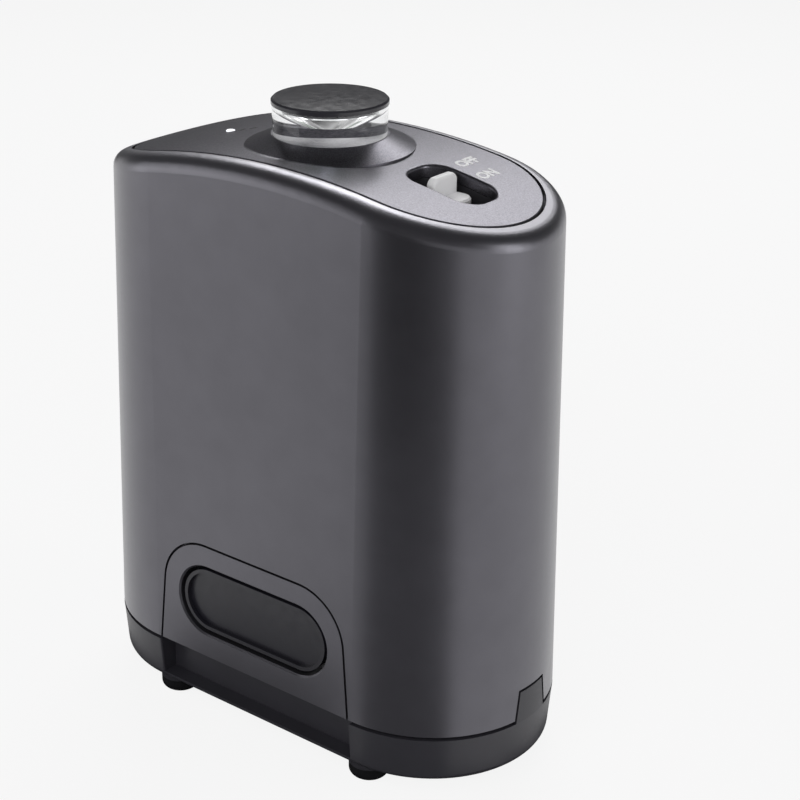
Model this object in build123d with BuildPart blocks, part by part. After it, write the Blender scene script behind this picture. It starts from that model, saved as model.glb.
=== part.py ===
from build123d import *
from math import radians, sqrt, tan
import os

os.makedirs("parts", exist_ok=True)

# Outer shell. The frame: X along the length, the window faces -Y, Z is up from the floor.
length = 90.0            # end to end at the parting line
body_height = 93.05      # lower edge of the shell to the middle of its arched top
draft = 1.25             # degrees that every shell wall leans in going up
top_radius = 136.0       # arch of the top seen from the front
top_round = 3.0          # rounding of the upper edge
wall = 2.0               # wall of the shell and of the base
groove = 0.7             # height of the dark line between base and shell
groove_depth = 1.0       # how far that line reaches in
cut_margin = 2.0         # how far a cutting shape runs past what it cuts

# Top plate, set into a pocket of the shell
rim_width = 3.25         # shell rim around the plate
plate_thickness = 2.0
plate_gap = 0.42         # dark line around the plate
plate_edge = 0.2         # bevel of its upper edge
ledge_width = 2.0        # shell ledge that carries the plate
ledge_thickness = 2.0
hook_x = 7.0             # snap hooks that hold the plate down, either side of the middle
hook_width = 5.0
hook_thickness = 1.2
hook_catch = 0.8         # how far they reach under the ledge
hook_gap = 0.2           # hook to ledge

# Dome on the top plate
mound_radius = 14.4      # foot of the raised cone under the dome
mound_top_radius = 9.9
mound_rise = 1.6         # height of the cone above the middle of the plate
mound_foot_round = 1.2
lens_radius = 9.45       # clear ring where it leaves the plate
lens_flare = 0.3         # how much wider it is under the cap
lens_rise = 6.7          # its top above the middle of the plate
lens_gap = 0.15          # ring to plate hole
lens_flange = 1.7        # collar under the plate, beyond the hole
lens_flange_thickness = 1.4
lens_skirt_wall = 1.8    # tube that stands on the board
lens_cone_depth = 5.6    # hollow cone that throws the light sideways
lens_cone_edge = 1.6     # clear rim left around the hollow
cap_thickness = 0.9
cap_overhang = 0.1
cap_crown = 0.3          # height of the cap's slight dome
cap_spigot = 0.7         # depth of the cap's plug
cap_fit = 0.2            # cap plug to hollow

# Mode switch
slot_inset = 19.9        # middle of the slot from the right end
slot_length = 14.2
slot_width = 9.6
slot_corner = 3.8
slot_round = 0.5         # rounding of its upper edge
well_wall = 1.4          # dark tray under the slot
well_depth = 4.0         # tray floor below the plate's face at the slot's middle
well_floor = 1.2
well_gap = 0.1           # tray to plate
knob_length = 5.6        # along the slot
knob_width = 6.6         # across the slot
knob_fin = 1.7           # thickness of the upright blade
knob_rise = 0.6          # blade top above the plate beside it
knob_foot = 1.3          # thickness of the flat foot
knob_gap = 0.3           # foot to tray floor
knob_round = 0.6
knob_corner = 2.6        # rounded end of the foot
knob_fin_corner = 1.4    # upper corners of the blade
knob_travel = 3.4        # from the middle to either end position
stem_length = 3.0
stem_width = 2.6
stem_gap = 0.4           # stem to the slit in the tray

# Boards and what they carry
board_drop = 12.0        # plate underside to the main board
board_thickness = 1.6
board_gap = 1.2          # board edge to the shell
boss_radius = 2.6
boss_x = 15.5
boss_y = 11.5
screw_radius = 1.25
screw_head_radius = 2.3
screw_head = 1.6
screw_bite = 6.0         # thread length in the boss
screw_gap = 0.1          # screw to its hole
switch_length = 17.0
switch_width = 7.0
switch_height = 4.6
switch_slot_depth = 1.8
stem_clear = 0.5         # stem above the switch
actuator_length = 1.6
actuator_width = 1.2
actuator_fit = 0.15      # actuator to its slot and socket
actuator_rise = 2.2      # above the switch
led_radius = 2.5
led_height = 7.6
led_flange = 0.5
status_inset = 22.6      # light pipe from the left end
pipe_radius = 0.8
pipe_gap = 0.1
pipe_rise = 0.15         # how far it stands out of the plate
pipe_collar = 0.7
status_led_size = 2.2
status_led_height = 1.1
chip_length = 10.0
chip_width = 6.4
chip_height = 2.2
legs_per_side = 4
leg_width = 0.5
leg_reach = 2.0
leg_thickness = 0.3
capacitor_radius = 3.2
capacitor_height = 9.0
capacitor_edge = 0.6

# Front panel with the beam window
panel_bottom = 44.6      # width at the parting line
panel_top = 40.4         # width at the upper corners, before rounding
panel_height = 22.0
panel_corner = 10.2
panel_gap = 0.45         # dark line around the panel
flange_thickness = 1.5
flange_margin = 1.4      # how far the flange reaches behind the shell
panel_fit = 0.15         # flange to the shell's inner face
window_length = 34.3
window_height = 13.5
window_z = 11.25         # middle of the window above the shell's lower edge
window_edge = 0.3        # bevel of the window's front edge
lens_groove = 0.75       # dark line around the window lens
rim_line = 0.7           # width of the lens's raised edge
rim_sink = 0.5           # raised edge below the panel's face
pane_sink = 1.4          # pane below the panel's face
pane_fit = 0.05
pane_flange = 1.2        # thickness of the lens's collar behind the panel
pane_margin = 1.3        # how far that collar reaches behind the panel

# Beam unit behind the window
beam_led_radius = 1.5
beam_led_length = 3.35
beam_led_pitch = 14.0
beam_led_gap = 0.7       # light to window lens
beam_board_thickness = 1.2
beam_board_width = 33.0
beam_board_drop = 8.0     # board's lower edge below the window's middle
beam_boss_radius = 2.0
beam_boss_x = 10.0
beam_screw_radius = 0.8
beam_screw_head_radius = 1.5
beam_screw_head = 0.9
beam_screw_bite = 2.4
shroud_length = 26.0
shroud_height = 9.0
shroud_gap = 0.2         # shroud to window lens
shroud_bore = 2.6        # radius of its mouths
shroud_corner = 2.2
beam_board_gap = 0.3     # beam board to the battery tray

# Cells and their tray on the base
cell_diameter = 26.2
cell_length = 50.0
cell_nub_radius = 3.2
cell_nub_height = 1.5
cell_edge = 0.8          # bevel of its ends
cell_spacing = 2.4       # between the two cells
cell_gap = 0.4           # cell to its barrel
tray_wall = 1.5
tray_height = 26.0
tray_floor = 1.5
tray_edge = 1.0          # bevel of its lower edge
tray_window = 13.0       # width of the finger notches in its ends
tray_notch = 16.0        # depth of those notches
tray_gap = 0.25          # tray to the base's spigot
ear_radius = 3.6
ear_gap = 0.3            # base's boss under the ear to the tray
ear_thickness = 2.0
ear_lift = 4.0           # ear above the base's floor
link_thickness = 0.5
link_width = 9.0
link_margin = 2.2        # strip beyond the coil of its spring
link_gap = 0.3           # link strip to the passage in the tray
spring_height = 2.8
spring_wire = 0.8
spring_radius = 5.5
spring_turns = 2.0
wire_sides = 6           # flats on the wire
contact_thickness = 0.5
contact_size = 12.0      # side of the square contact plates
contact_gap = 0.2        # contacts to the cells' upper ends
dimple_radius = 3.0
dimple_taper = 5.0       # degrees that the dimples widen towards their plate
carrier_thickness = 2.2
carrier_gap = 0.6        # contact carrier to the shell
post_inset = 10.0        # shell posts that hold the carrier, from the ends
post_height = 9.0
post_rib = 2.0

# Base
base_height = 8.55
base_draft = 4.5         # degrees that its wall leans in going down
base_round = 1.35        # rounding of its lower edge
floor_thickness = 1.3
recess_depth = 3.7       # notch under the front panel
recess_wall = 1.6
recess_round = 0.3       # rounding of its upright front edges
seat_gap = 0.2           # shell's lower edge to its seat
spigot_gap = 0.3         # base's upright ring to the shell
spigot_thickness = 1.5
spigot_height = 2.6
spigot_root = 3.0
spigot_end_gap = 2.0     # ends of the ring's stretches to the panel and the tabs
tab_height = 5.2         # release tab above the shell's lower edge
tab_bottom = 8.15        # its width at the foot
tab_top = 6.4
tab_gap = 0.5
foot_height = 3.85       # base's underside above the floor
foot_radius = 3.6
foot_draft = 8.0         # degrees that the base's foot pads widen going up
foot_rubber = 2.6        # height of the rubber foot
foot_edge = 1.4          # rounding of its lower edge
foot_inset = 5.35        # foot's middle from the long side
foot_stem_radius = 1.5

# Places worked out from the sizes above
bore_radius = cell_diameter / 2 + cell_gap
tray_radius = bore_radius + tray_wall
panel_stack = wall + panel_fit + flange_thickness
pane_back = panel_stack + pane_fit + pane_flange
beam_stack = beam_led_gap + beam_led_length + beam_board_thickness + beam_board_gap
back_stack = tray_gap + spigot_thickness + spigot_gap + wall
depth = pane_back + beam_stack + 2 * tray_radius + back_stack
cell_pitch = cell_diameter + cell_spacing
tray_y = depth / 2 - back_stack - tray_radius
slot_x = length / 2 - slot_inset
status_x = status_inset - length / 2
base_top = foot_height + base_height
base_lean = tan(radians(base_draft)) * base_height
floor_z = foot_height + floor_thickness
shell_z = base_top + groove
top_z = shell_z + body_height
arch_z = top_z - top_radius
tray_top = floor_z + tray_height
link_z = floor_z + tray_floor
cell_z = link_z + link_thickness + spring_height
cell_top = cell_z + cell_length
carrier_z = cell_top + contact_gap + spring_height + contact_thickness
post_x = length / 2 - post_inset
ear_x = cell_pitch / 2 + tray_radius + boss_radius + ear_gap
board_top = top_z - plate_thickness - board_drop
lens_top = top_z + lens_rise
slot_face = arch_z + sqrt(top_radius**2 - slot_x**2)
well_top = slot_face - well_depth
front_y = -depth / 2
beam_board_y = tray_y - tray_radius - beam_board_gap - beam_board_thickness
beam_z = shell_z + window_z
foot_x = (length - depth) / 2
foot_y = depth / 2 - foot_inset


def lean(z):
    """How far the drafted walls have moved in at a height."""
    return tan(radians(draft)) * (z - base_top)


def arch(x, radius):
    """Height of an arch of the top family at a place along the length."""
    return arch_z + sqrt(radius**2 - x**2)


def drafted(inset, z_low, z_high):
    """The shell's outline, inset all round, with its draft, between two heights."""
    shrink = 2 * (inset + lean(z_low))
    with BuildPart() as block:
        with BuildSketch(Plane.XY.offset(z_low)):
            SlotOverall(length - shrink, depth - shrink)
        extrude(amount=z_high - z_low, taper=draft)
    return block.part


def skin(outer, inner, z_low, z_high):
    """A wall of the drafted outline between two insets."""
    outside = drafted(outer, z_low, z_high)
    inside = drafted(inner, z_low, z_high)
    with BuildPart() as ring:
        add(outside)
        add(inside, mode=Mode.SUBTRACT)
    return ring.part


def arched(inset, z_low, roof):
    """The drafted outline under an arched roof of a given radius."""
    block = drafted(inset, z_low, top_z + cut_margin)
    with BuildPart() as body:
        add(block)
        with Locations((0, 0, arch_z)):
            Cylinder(roof, 2 * depth, rotation=(90, 0, 0), mode=Mode.INTERSECT)
    return body.part


def arched_slab(inset, floor, roof):
    """A plate of the drafted outline between two arches."""
    block = drafted(inset, base_top, top_z + cut_margin)
    with BuildPart() as slab:
        add(block)
        with Locations((0, 0, arch_z)):
            Cylinder(roof, 2 * depth, rotation=(90, 0, 0), mode=Mode.INTERSECT)
            Cylinder(floor, 2 * depth, rotation=(90, 0, 0), mode=Mode.SUBTRACT)
    return slab.part


def tombstone(grow):
    """Outline of the front panel, grown or shrunk all round, run through the front wall."""
    low = shell_z - panel_gap
    high = shell_z + panel_height + panel_gap
    with BuildPart() as prism:
        with BuildSketch(Plane.XZ) as face:
            with BuildLine():
                Polyline(
                    (-panel_bottom / 2, low),
                    (panel_bottom / 2, low),
                    (panel_top / 2, high),
                    (-panel_top / 2, high),
                    close=True,
                )
            make_face()
            fillet(face.vertices().group_by(Axis.Y)[-1], panel_corner)
            offset(amount=grow)
        extrude(amount=depth)
    return prism.part


def window(grow):
    """Outline of the beam window, grown or shrunk all round, run through the front wall."""
    with BuildPart() as prism:
        with BuildSketch(Plane.XZ):
            with Locations((0, beam_z)):
                SlotOverall(window_length + 2 * grow, window_height + 2 * grow)
        extrude(amount=depth)
    return prism.part


def tab_prism(grow):
    """Outline of the release tabs, grown all round, run through both ends."""
    with BuildPart() as prism:
        with BuildSketch(Plane.YZ):
            with BuildLine():
                Polyline(
                    (-tab_bottom / 2, base_top),
                    (tab_bottom / 2, base_top),
                    (tab_top / 2, shell_z + tab_height),
                    (-tab_top / 2, shell_z + tab_height),
                    close=True,
                )
            make_face()
            offset(amount=grow, kind=Kind.INTERSECTION)
        extrude(amount=length, both=True)
    return prism.part


def save(builder, name):
    """Name a finished piece and write it."""
    builder.part.label = name
    export_step(builder.part, f"parts/{name}.step")


# Shell: a drafted, arched hood with a pocket for the plate, a front opening and two end notches
shell_block = arched(0, shell_z, top_radius)
shell_hollow = arched(wall, base_top, top_radius - plate_thickness - ledge_thickness)
plate_pocket = arched_slab(rim_width, top_radius - plate_thickness, top_radius + cut_margin)
ledge_opening = drafted(rim_width + ledge_width, top_z / 2, top_z + cut_margin)
panel_opening = tombstone(0)
tab_notch = tab_prism(tab_gap)
post_z = carrier_z + carrier_thickness
post_reach = length / 2 - wall - lean(post_z) - post_x
with BuildPart() as body_shell:
    add(shell_block)
    fillet(body_shell.faces().sort_by(Axis.Z)[-1].edges(), top_round)
    add(shell_hollow, mode=Mode.SUBTRACT)
    add(plate_pocket, mode=Mode.SUBTRACT)
    add(ledge_opening, mode=Mode.SUBTRACT)
    add(panel_opening, mode=Mode.SUBTRACT)
    add(tab_notch, mode=Mode.SUBTRACT)
    with BuildSketch(Plane.XY.offset(post_z)):
        with Locations((-post_x, 0), (post_x, 0)):
            Circle(boss_radius)
        with Locations((-post_x - post_reach / 2, 0), (post_x + post_reach / 2, 0)):
            Rectangle(post_reach + wall, post_rib)
    extrude(amount=post_height)
    with BuildSketch(Plane.XY.offset(post_z)):
        with Locations((-post_x, 0), (post_x, 0)):
            Circle(screw_radius + screw_gap)
    extrude(amount=screw_bite + screw_gap, mode=Mode.SUBTRACT)
save(body_shell, "body_shell")

# Top plate: arched, with the raised cone, the switch slot, the light hole, four board bosses and four hooks
plate_slab = arched_slab(rim_width + plate_gap, top_radius - plate_thickness, top_radius)
lens_hole = lens_radius + lens_gap
mound_foot = arch(mound_radius * sqrt(0.5), top_radius)
hook_y = depth / 2 - rim_width - ledge_width - lean(top_z) - hook_gap
hook_roof = arch(hook_x + hook_width / 2, top_radius - plate_thickness / 2)
catch_z = arch(hook_x + hook_width / 2, top_radius - plate_thickness - ledge_thickness) - hook_gap
with BuildPart() as top_plate:
    add(plate_slab)
    chamfer(top_plate.faces().sort_by(Axis.Z)[-1].edges(), plate_edge)
    with BuildSketch(Plane.XY.offset(well_top)):
        with Locations((slot_x, 0)):
            RectangleRounded(slot_length, slot_width, slot_corner)
    extrude(amount=top_z - well_top, mode=Mode.SUBTRACT)
    fillet(top_plate.faces().sort_by(Axis.Z)[-1].inner_wires()[0].edges(), slot_round)
    with BuildSketch(Plane.XZ):
        with BuildLine():
            Polyline(
                (0, top_z - plate_thickness),
                (mound_radius, top_z - plate_thickness),
                (mound_radius, mound_foot),
                (mound_top_radius, top_z + mound_rise),
                (0, top_z + mound_rise),
                close=True,
            )
        make_face()
    revolve(axis=Axis.Z)
    mound_edges = top_plate.faces().filter_by(GeomType.CONE).sort_by(Axis.Z)[-1].edges()
    foot_edges = mound_edges.filter_by(GeomType.CIRCLE, reverse=True).filter_by(GeomType.LINE, reverse=True)
    fillet(foot_edges, mound_foot_round)
    with BuildSketch(Plane.XY.offset(board_top)):
        with GridLocations(2 * boss_x, 2 * boss_y, 2, 2):
            Circle(boss_radius)
    extrude(amount=arch(boss_x, top_radius - plate_thickness / 2) - board_top)
    with BuildSketch(Plane.XY.offset(board_top)):
        with GridLocations(2 * boss_x, 2 * boss_y, 2, 2):
            Circle(screw_radius + screw_gap)
    extrude(amount=screw_bite + screw_gap, mode=Mode.SUBTRACT)
    for x, side in ((-hook_x, -1), (-hook_x, 1), (hook_x, -1), (hook_x, 1)):
        with BuildSketch(Plane.YZ.offset(x - hook_width / 2)):
            with BuildLine():
                Polyline(
                    (side * (hook_y - hook_thickness), hook_roof),
                    (side * (hook_y - hook_thickness), catch_z - 2 * hook_catch),
                    (side * hook_y, catch_z - 2 * hook_catch),
                    (side * (hook_y + hook_gap + hook_catch), catch_z),
                    (side * hook_y, catch_z),
                    (side * hook_y, hook_roof),
                    close=True,
                )
            make_face()
        extrude(amount=hook_width)
    with BuildSketch(Plane.XY.offset(board_top)):
        Circle(lens_hole)
        with Locations((status_x, 0)):
            Circle(pipe_radius + pipe_gap)
    extrude(amount=lens_top - board_top, mode=Mode.SUBTRACT)
save(top_plate, "top_plate")

# Dome lens: clear ring with a hollow cone above, a collar under the plate and a skirt on the board
collar_radius = lens_hole + lens_flange
collar_top = arch(collar_radius, top_radius - plate_thickness) - well_gap
collar_low = collar_top - lens_flange_thickness
skirt_radius = lens_radius - lens_skirt_wall
mouth_radius = lens_radius + lens_flare - lens_cone_edge
mouth_low = lens_top - cap_spigot - cap_fit
with BuildPart() as dome_lens:
    with BuildSketch(Plane.XZ):
        with BuildLine():
            Polyline(
                (0, collar_low),
                (skirt_radius, collar_low),
                (skirt_radius, board_top),
                (lens_radius, board_top),
                (lens_radius, collar_low),
                (collar_radius, collar_low),
                (collar_radius, collar_top),
                (lens_radius, collar_top),
                (lens_radius + lens_flare, lens_top),
                (mouth_radius, lens_top),
                (mouth_radius, mouth_low),
                (mouth_radius - cap_fit, mouth_low),
                (0, lens_top - lens_cone_depth),
                close=True,
            )
        make_face()
    revolve(axis=Axis.Z)
save(dome_lens, "dome_lens")

# Dome cap: a thin crowned lid with a plug in the lens's hollow
cap_radius = lens_radius + lens_flare + cap_overhang
cap_edge = lens_top + cap_thickness
with BuildPart() as dome_cap:
    with BuildSketch(Plane.XZ):
        with BuildLine():
            Polyline(
                (0, cap_edge + cap_crown),
                (0, lens_top - cap_spigot),
                (mouth_radius - cap_fit, lens_top - cap_spigot),
                (mouth_radius - cap_fit, lens_top),
                (cap_radius, lens_top),
                (cap_radius, cap_edge - cap_crown),
                (cap_radius - cap_crown, cap_edge),
            )
            TangentArc((0, cap_edge + cap_crown), (cap_radius - cap_crown, cap_edge), tangent=(1, 0))
        make_face()
    revolve(axis=Axis.Z)
save(dome_cap, "dome_cap")

# Main board under the top plate
board_low = board_top - board_thickness
board_shrink = 2 * (wall + lean(board_top) + board_gap)
with BuildPart() as main_board:
    with BuildSketch(Plane.XY.offset(board_low)):
        SlotOverall(length - board_shrink, depth - board_shrink)
        with GridLocations(2 * boss_x, 2 * boss_y, 2, 2):
            Circle(screw_radius + screw_gap, mode=Mode.SUBTRACT)
    extrude(amount=board_thickness)
save(main_board, "main_board")

# Board screws: driven up through the board into the plate's bosses
with BuildPart() as board_screws:
    with BuildSketch(Plane.XY.offset(board_low)):
        with GridLocations(2 * boss_x, 2 * boss_y, 2, 2):
            Circle(screw_radius)
    extrude(amount=board_thickness + screw_bite)
    with BuildSketch(Plane.XY.offset(board_low - screw_head)):
        with GridLocations(2 * boss_x, 2 * boss_y, 2, 2):
            Circle(screw_head_radius)
    extrude(amount=screw_head)
save(board_screws, "board_screws")

# Dome emitter: a round-nosed diode on the board, under the dome
with BuildPart() as dome_emitter:
    with BuildSketch(Plane.XZ):
        with BuildLine():
            Polyline(
                (0, board_top + led_height),
                (0, board_top),
                (led_radius + led_flange, board_top),
                (led_radius + led_flange, board_top + led_flange),
                (led_radius, board_top + led_flange),
                (led_radius, board_top + led_height - led_radius),
            )
            RadiusArc(
                (led_radius, board_top + led_height - led_radius),
                (0, board_top + led_height),
                -led_radius,
            )
        make_face()
    revolve(axis=Axis.Z)
save(dome_emitter, "dome_emitter")

# Status light: a clear pipe through the plate over a small diode
pipe_low = board_top + status_led_height + pipe_gap
pipe_top = arch(status_x, top_radius) + pipe_rise
pipe_collar_radius = pipe_radius + pipe_gap + pipe_collar
pipe_collar_top = arch(abs(status_x) + pipe_collar_radius, top_radius - plate_thickness) - pipe_gap
with BuildPart() as light_pipe:
    with BuildSketch(Plane.XY.offset(pipe_low)):
        with Locations((status_x, 0)):
            Circle(pipe_radius)
    extrude(amount=pipe_top - pipe_low)
    fillet(light_pipe.faces().sort_by(Axis.Z)[-1].edges(), pipe_rise)
    with BuildSketch(Plane.XY.offset(pipe_collar_top - pipe_collar)):
        with Locations((status_x, 0)):
            Circle(pipe_collar_radius)
    extrude(amount=pipe_collar)
save(light_pipe, "light_pipe")

with BuildPart() as status_led:
    with BuildSketch(Plane.XY.offset(board_top)):
        with Locations((status_x, 0)):
            Rectangle(status_led_size, status_led_size)
    extrude(amount=status_led_height / 2)
    with BuildSketch(Plane.XY.offset(board_top + status_led_height / 2)):
        with Locations((status_x, 0)):
            Circle(status_led_size / 2)
    extrude(amount=status_led_height / 2, taper=draft)
save(status_led, "status_led")

# Control chip and capacitor on the underside of the board
leg_pitch = chip_length / legs_per_side
with BuildPart() as control_chip:
    with BuildSketch(Plane.XY.offset(board_low - chip_height)):
        Rectangle(chip_length, chip_width)
    extrude(amount=chip_height - leg_thickness)
    with BuildSketch(Plane.XY.offset(board_low - leg_thickness)):
        with GridLocations(leg_pitch, chip_width, legs_per_side, 2):
            Rectangle(leg_width, leg_reach)
    extrude(amount=leg_thickness)
    with BuildSketch(Plane.XY.offset(board_low - chip_height / 2)):
        with GridLocations(leg_pitch, chip_width, legs_per_side, 2):
            Rectangle(leg_width, leg_thickness)
    extrude(amount=chip_height / 2)
save(control_chip, "control_chip")

with BuildPart() as capacitor:
    with BuildSketch(Plane.XY.offset(board_low - capacitor_height)):
        with Locations((status_x, 0)):
            Circle(capacitor_radius)
    extrude(amount=capacitor_height)
    chamfer(capacitor.faces().sort_by(Axis.Z)[0].edges(), capacitor_edge)
save(capacitor, "capacitor")

# Slide switch on the board, its actuator, and the knob that drives it
switch_top = board_top + switch_height
slide_reach = 2 * (knob_travel + actuator_fit)
with BuildPart() as slide_switch:
    with BuildSketch(Plane.XY.offset(board_top)):
        with Locations((slot_x, 0)):
            Rectangle(switch_length, switch_width)
    extrude(amount=switch_height)
    with BuildSketch(Plane.XY.offset(switch_top - switch_slot_depth)):
        with Locations((slot_x, 0)):
            Rectangle(actuator_length + slide_reach, actuator_width + 2 * actuator_fit)
    extrude(amount=switch_slot_depth, mode=Mode.SUBTRACT)
save(slide_switch, "slide_switch")

with BuildPart() as switch_actuator:
    with BuildSketch(Plane.XY.offset(switch_top - switch_slot_depth + actuator_fit)):
        with Locations((slot_x, 0)):
            Rectangle(actuator_length, actuator_width)
    extrude(amount=switch_slot_depth - actuator_fit + actuator_rise)
save(switch_actuator, "switch_actuator")

# Switch well: the dark tray seen through the slot, with a slit for the knob's stem
well_low = well_top - well_floor
well_roof = top_radius - plate_thickness - well_gap
well_length = slot_length + 2 * well_wall
well_width = slot_width + 2 * well_wall
with BuildPart() as switch_well:
    with BuildSketch(Plane.XY.offset(well_low)):
        with Locations((slot_x, 0)):
            RectangleRounded(well_length, well_width, slot_corner + well_wall)
    extrude(amount=top_z - well_low)
    with Locations((0, 0, arch_z)):
        Cylinder(well_roof, 2 * depth, rotation=(90, 0, 0), mode=Mode.INTERSECT)
    with BuildSketch(Plane.XY.offset(well_top)):
        with Locations((slot_x, 0)):
            RectangleRounded(slot_length, slot_width, slot_corner)
    extrude(amount=top_z - well_top, mode=Mode.SUBTRACT)
    with BuildSketch(Plane.XY.offset(well_low)):
        with Locations((slot_x, 0)):
            Rectangle(stem_length + 2 * (knob_travel + stem_gap), stem_width + 2 * stem_gap)
    extrude(amount=well_floor, mode=Mode.SUBTRACT)
save(switch_well, "switch_well")

foot_low = well_top + knob_gap
fin_x = slot_x - knob_length / 2 + knob_fin / 2
fin_top = arch(fin_x, top_radius) + knob_rise
stem_low = switch_top + stem_clear
socket_top = switch_top + actuator_rise + actuator_fit
socket_length = actuator_length + 2 * actuator_fit
socket_width = actuator_width + 2 * actuator_fit
with BuildPart() as switch_knob:
    with BuildSketch(Plane.XY.offset(foot_low)) as foot_outline:
        with Locations((slot_x, 0)):
            Rectangle(knob_length, knob_width)
        fillet(foot_outline.vertices().group_by(Axis.X)[-1], knob_corner)
    extrude(amount=knob_foot)
    chamfer(switch_knob.faces().sort_by(Axis.Z)[-1].edges(), knob_round / 2)
    with BuildSketch(Plane.YZ.offset(fin_x - knob_fin / 2)) as fin_outline:
        with BuildLine():
            Polyline(
                (-knob_width / 2, foot_low),
                (knob_width / 2, foot_low),
                (knob_width / 2, fin_top),
                (-knob_width / 2, fin_top),
                close=True,
            )
        make_face()
        fillet(fin_outline.vertices().group_by(Axis.Y)[-1], knob_fin_corner)
    extrude(amount=knob_fin)
    fillet(switch_knob.edges().filter_by_position(Axis.Z, foot_low + 2 * knob_foot, fin_top), knob_round)
    with BuildSketch(Plane.XY.offset(stem_low)):
        with Locations((slot_x, 0)):
            Rectangle(stem_length, stem_width)
            Rectangle(socket_length, socket_width, mode=Mode.SUBTRACT)
    extrude(amount=socket_top - stem_low)
    with BuildSketch(Plane.XY.offset(socket_top)):
        with Locations((slot_x, 0)):
            Rectangle(stem_length, stem_width)
    extrude(amount=foot_low - socket_top)
save(switch_knob, "switch_knob")

# Front panel: a tombstone set flush in the shell, with a flange behind the wall and a shelf below
panel_roof = shell_z + panel_height + flange_margin + cut_margin
panel_skin = skin(0, panel_stack, shell_z, panel_roof)
flange_skin = skin(wall + panel_fit, panel_stack, shell_z, panel_roof)
panel_prism = tombstone(-panel_gap)
flange_prism = tombstone(flange_margin)
window_prism = window(0)
shelf_depth = recess_depth + recess_wall
beam_boss_z = beam_z + window_height / 2 + pane_margin + beam_boss_radius + panel_fit
beam_boss_length = beam_board_y - (front_y + panel_stack)
with BuildPart() as panel_flange:
    add(flange_skin)
    add(flange_prism, mode=Mode.INTERSECT)
with BuildPart() as front_panel:
    add(panel_skin)
    add(panel_prism, mode=Mode.INTERSECT)
    add(panel_flange.part)
    with BuildSketch(Plane.XZ.offset(-beam_board_y)):
        with Locations((-beam_boss_x, beam_boss_z), (beam_boss_x, beam_boss_z)):
            Circle(beam_boss_radius)
    extrude(amount=beam_boss_length)
    with BuildSketch(Plane.XZ.offset(-beam_board_y)):
        with Locations((-beam_boss_x, beam_boss_z), (beam_boss_x, beam_boss_z)):
            Circle(beam_screw_radius + screw_gap)
    extrude(amount=beam_screw_bite + screw_gap, mode=Mode.SUBTRACT)
    with BuildSketch(Plane.XY.offset(shell_z)):
        with Locations((0, front_y + (panel_stack + shelf_depth) / 2)):
            Rectangle(panel_bottom - 2 * panel_gap, shelf_depth - panel_stack + panel_fit)
    extrude(amount=flange_thickness)
    add(window_prism, mode=Mode.SUBTRACT)
    front_face = front_panel.faces().filter_by(GeomType.PLANE).sort_by(Axis.Y)[0]
    chamfer(front_face.inner_wires().edges(), window_edge)
save(front_panel, "front_panel")

# Window lens: a sunk pane with a raised edge and a collar behind the panel
lens_low = beam_z - window_height
lens_high = beam_z + window_height
rim_skin = skin(rim_sink, pane_back, lens_low, lens_high)
pane_cut = skin(-cut_margin, pane_sink, lens_low, lens_high)
collar_skin = skin(panel_stack + pane_fit, pane_back, lens_low, lens_high)
rim_prism = window(-lens_groove)
pane_prism = window(-lens_groove - rim_line)
collar_prism = window(pane_margin)
with BuildPart() as pane_hollow:
    add(pane_cut)
    add(pane_prism, mode=Mode.INTERSECT)
with BuildPart() as pane_collar:
    add(collar_skin)
    add(collar_prism, mode=Mode.INTERSECT)
with BuildPart() as window_lens:
    add(rim_skin)
    add(rim_prism, mode=Mode.INTERSECT)
    add(pane_hollow.part, mode=Mode.SUBTRACT)
    add(pane_collar.part)
save(window_lens, "window_lens")

# Beam unit: an upright board with two diodes in a dark shroud
beam_board_low = beam_z - beam_board_drop
beam_board_high = beam_boss_z + beam_boss_radius
with BuildPart() as beam_board:
    with BuildSketch(Plane.XZ.offset(-beam_board_y - beam_board_thickness)):
        with Locations((0, (beam_board_low + beam_board_high) / 2)):
            Rectangle(beam_board_width, beam_board_high - beam_board_low)
        with Locations((-beam_boss_x, beam_boss_z), (beam_boss_x, beam_boss_z)):
            Circle(beam_screw_radius + screw_gap, mode=Mode.SUBTRACT)
    extrude(amount=beam_board_thickness)
save(beam_board, "beam_board")

with BuildPart() as beam_screws:
    with BuildSketch(Plane.XZ.offset(-beam_board_y - beam_board_thickness)):
        with Locations((-beam_boss_x, beam_boss_z), (beam_boss_x, beam_boss_z)):
            Circle(beam_screw_radius)
    extrude(amount=beam_board_thickness + beam_screw_bite)
    with BuildSketch(Plane.XZ.offset(-beam_board_y - beam_board_thickness - beam_screw_head)):
        with Locations((-beam_boss_x, beam_boss_z), (beam_boss_x, beam_boss_z)):
            Circle(beam_screw_head_radius)
    extrude(amount=beam_screw_head)
save(beam_screws, "beam_screws")

nose_y = beam_board_y - beam_led_length + beam_led_radius
for side, name in ((-1, "beam_emitter_left"), (1, "beam_emitter_right")):
    beam_axis = Axis((side * beam_led_pitch / 2, 0, beam_z), (0, 1, 0))
    with BuildPart() as beam_emitter:
        with BuildSketch(Plane.XY.offset(beam_z)):
            with BuildLine():
                Polyline(
                    (side * beam_led_pitch / 2, nose_y - beam_led_radius),
                    (side * beam_led_pitch / 2, beam_board_y),
                    (side * beam_led_pitch / 2 + beam_led_radius, beam_board_y),
                    (side * beam_led_pitch / 2 + beam_led_radius, nose_y),
                )
                RadiusArc(
                    (side * beam_led_pitch / 2 + beam_led_radius, nose_y),
                    (side * beam_led_pitch / 2, nose_y - beam_led_radius),
                    beam_led_radius,
                )
            make_face()
        revolve(axis=beam_axis)
    save(beam_emitter, name)

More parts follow.
